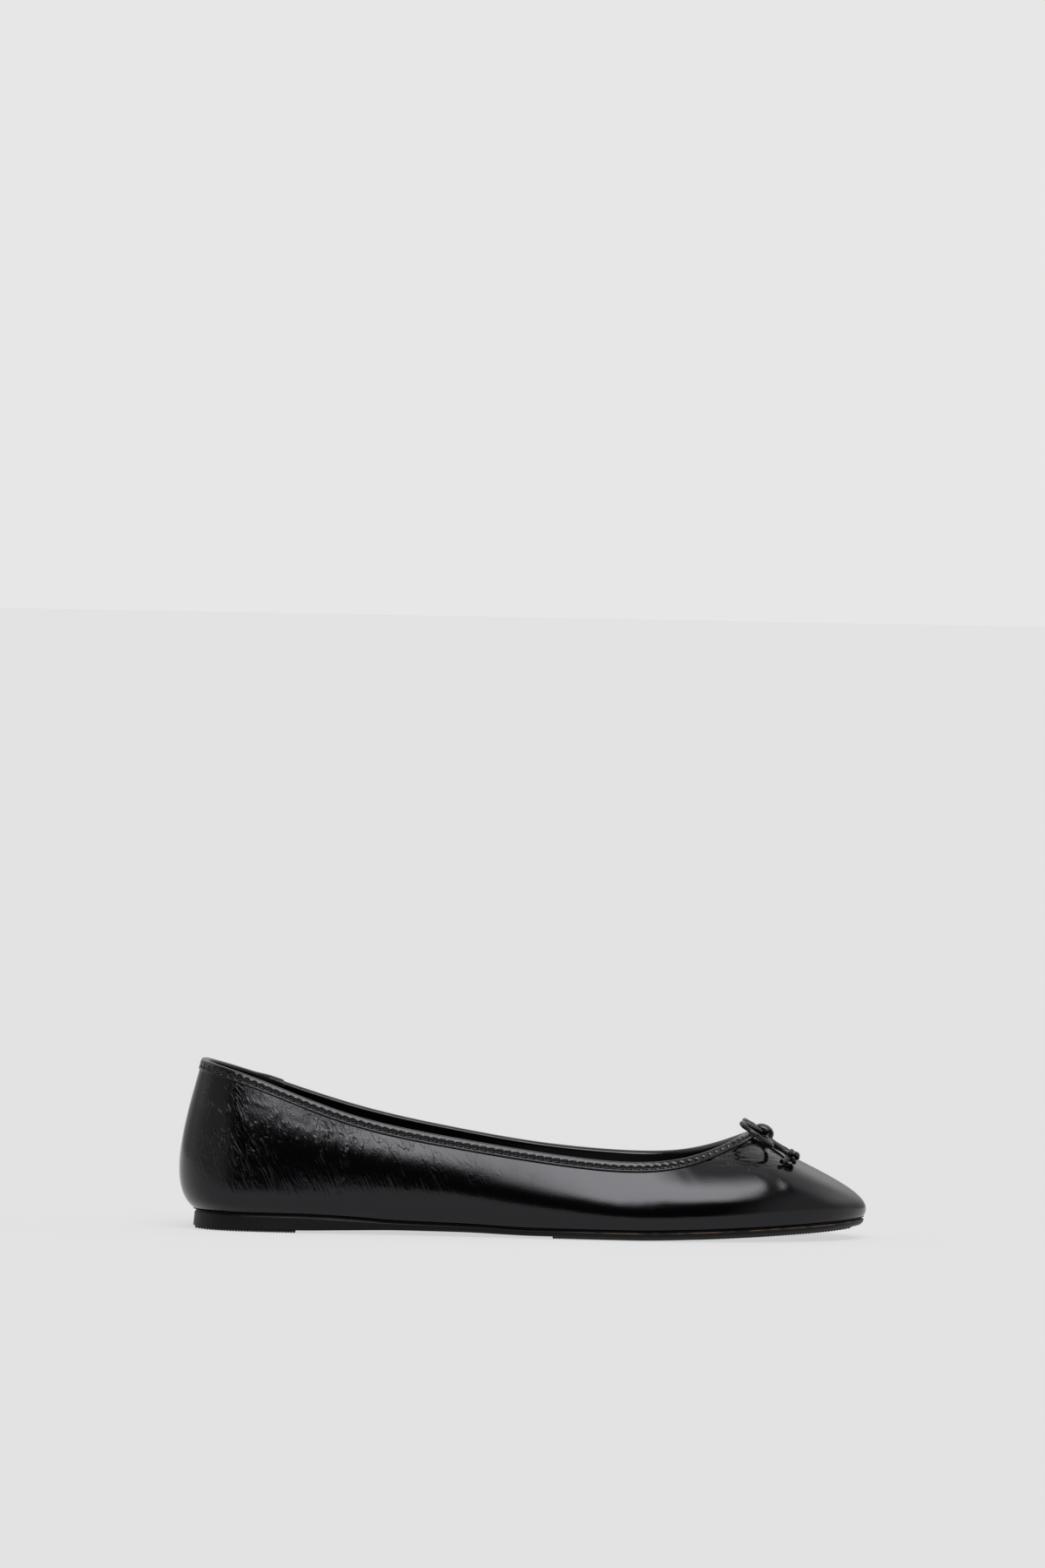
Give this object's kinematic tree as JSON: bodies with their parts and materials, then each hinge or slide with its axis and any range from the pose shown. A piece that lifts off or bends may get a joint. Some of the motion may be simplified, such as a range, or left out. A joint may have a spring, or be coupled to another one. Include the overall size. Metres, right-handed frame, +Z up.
{
  "type": "ballet flat",
  "caption": "Black leather ballet flat for the right foot, with a bound topline, a cord bow and a thin sole with a low heel.",
  "frame": {"origin": "on the floor, under the middle of the shoe's box", "axes": "+X from heel to toe, +Z up, -Y to the shoe's outer (lateral) side"},
  "size_m": [0.2499, 0.0786, 0.0615],
  "materials": {
    "leather": "glossy, softly crinkled",
    "binding": "satin",
    "sole": "satin",
    "tread": "matt",
    "footbed": "matt",
    "cord": "satin"
  },
  "bodies": {
    "root": {"upper": "leather", "topline_binding": "binding", "outsole": "sole", "heel_tread": "tread", "forefoot_tread": "tread", "insole": "footbed", "bow_knot": "cord", "bow_loop_lateral": "cord", "bow_loop_medial": "cord", "bow_tail_lateral": "cord", "bow_tail_medial": "cord", "bow_end_knot_lateral": "cord", "bow_end_knot_medial": "cord"}
  },
  "joints": []
}
